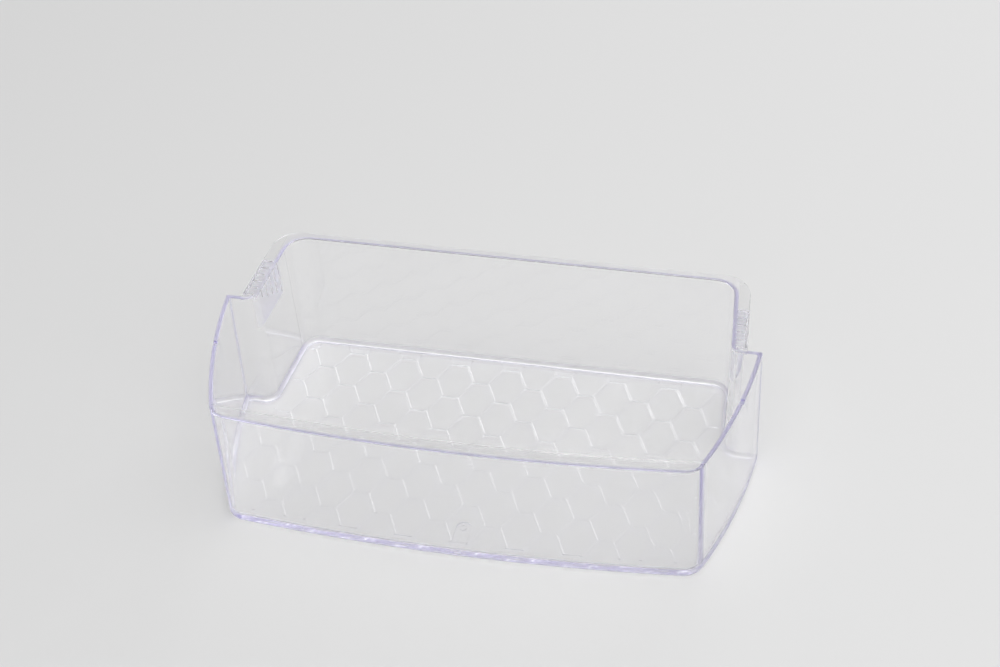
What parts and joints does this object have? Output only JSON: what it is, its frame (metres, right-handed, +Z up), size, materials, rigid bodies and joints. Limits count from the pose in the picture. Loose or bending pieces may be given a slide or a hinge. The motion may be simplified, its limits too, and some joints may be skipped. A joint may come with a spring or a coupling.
{
  "type": "fridge door shelf",
  "caption": "Clear moulded refrigerator door shelf: an open bin with a straight rear tray, a bowed wider front, a turned rim and hanging lugs at its sides.",
  "frame": {"origin": "under the middle of the shelf, on the plane that it stands on", "axes": "+X along the width, +Y towards the door that it hangs on, +Z up"},
  "size_m": [0.3998, 0.215, 0.105],
  "materials": {
    "clear_plastic": "clear, polished, with a faint violet tint at its edges"
  },
  "bodies": {
    "root": {"door_shelf": "clear_plastic"}
  },
  "joints": []
}
